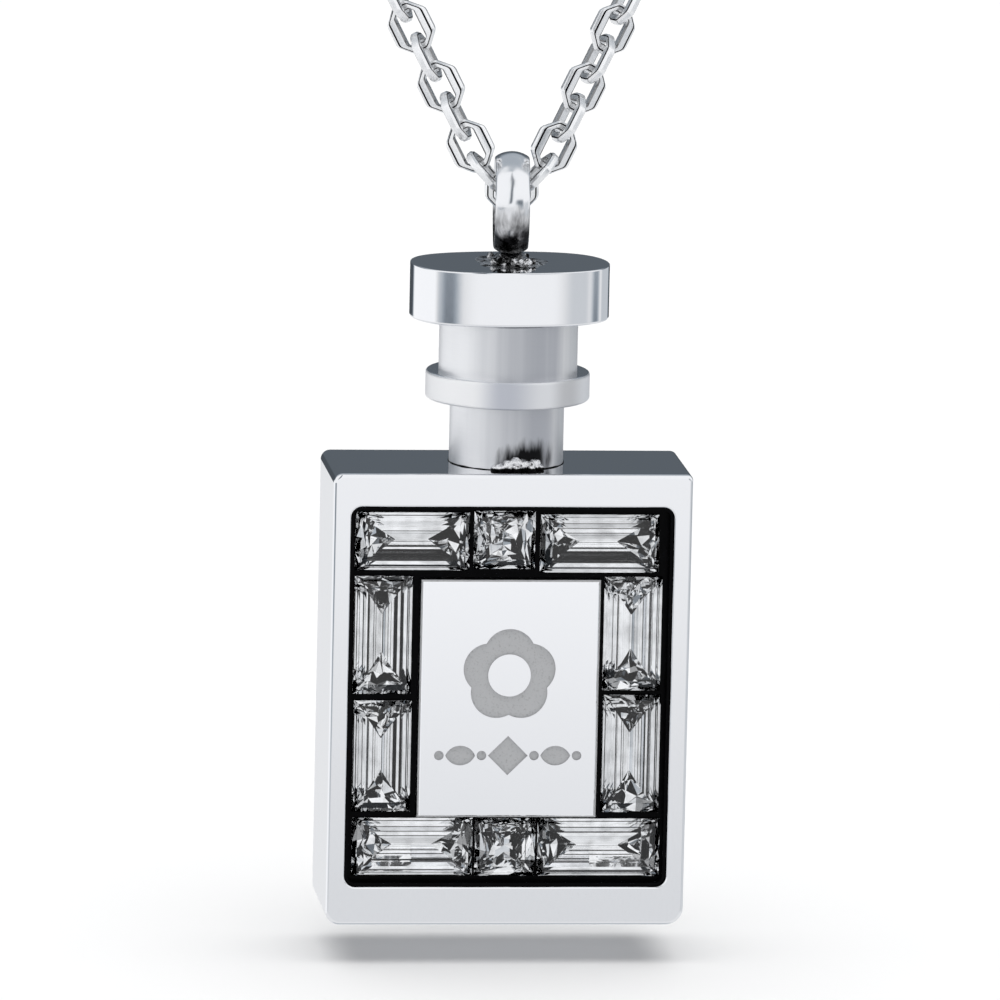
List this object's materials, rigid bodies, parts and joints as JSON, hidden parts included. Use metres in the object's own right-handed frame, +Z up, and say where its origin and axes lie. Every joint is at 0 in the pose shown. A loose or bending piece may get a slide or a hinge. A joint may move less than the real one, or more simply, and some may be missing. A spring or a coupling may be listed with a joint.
{
  "type": "bottle pendant with its chain",
  "caption": "Rectangular bottle pendant with step-cut stones round an engraved plate, hanging by a bail ring from a fine cable chain.",
  "frame": {"origin": "middle of the clasp at the nape of the neck, where the necklace hangs when worn", "axes": "+Z up, the pendant's front faces -Y, +X to the right seen from the front"},
  "size_m": [0.1178, 0.1218, 0.1674],
  "materials": {
    "polished_steel": "mirror-polished stainless steel",
    "satin_steel": "satin stainless steel",
    "etched_steel": "polished plate with grey etched ornament",
    "black_enamel": "gloss black enamel",
    "clear_stone": "clear step-cut crystal, foiled behind",
    "chain_steel": "polished steel links with flat faces"
  },
  "bodies": {
    "chain": {"chain_front": "chain_steel", "chain_rest": "chain_steel", "clasp": "chain_steel"},
    "pendant": {"bottle_body": "polished_steel", "neck_collar": "satin_steel", "cap_with_bail": "polished_steel", "enamel_bed": "black_enamel", "centre_plate": "etched_steel", "stone_top_left": "clear_stone", "stone_top_middle": "clear_stone", "stone_top_right": "clear_stone", "stone_left_upper": "clear_stone", "stone_left_lower": "clear_stone", "stone_right_upper": "clear_stone", "stone_right_lower": "clear_stone", "stone_bottom_left": "clear_stone", "stone_bottom_middle": "clear_stone", "stone_bottom_right": "clear_stone"}
  },
  "joints": [
    {"name": "pendant_swing", "type": "hinge", "parent": "chain", "child": "pendant", "pos_m": [0, -0.116, -0.126], "axis": [0.9969, -0.0785, 0], "range_deg": [-90, 90]}
  ]
}
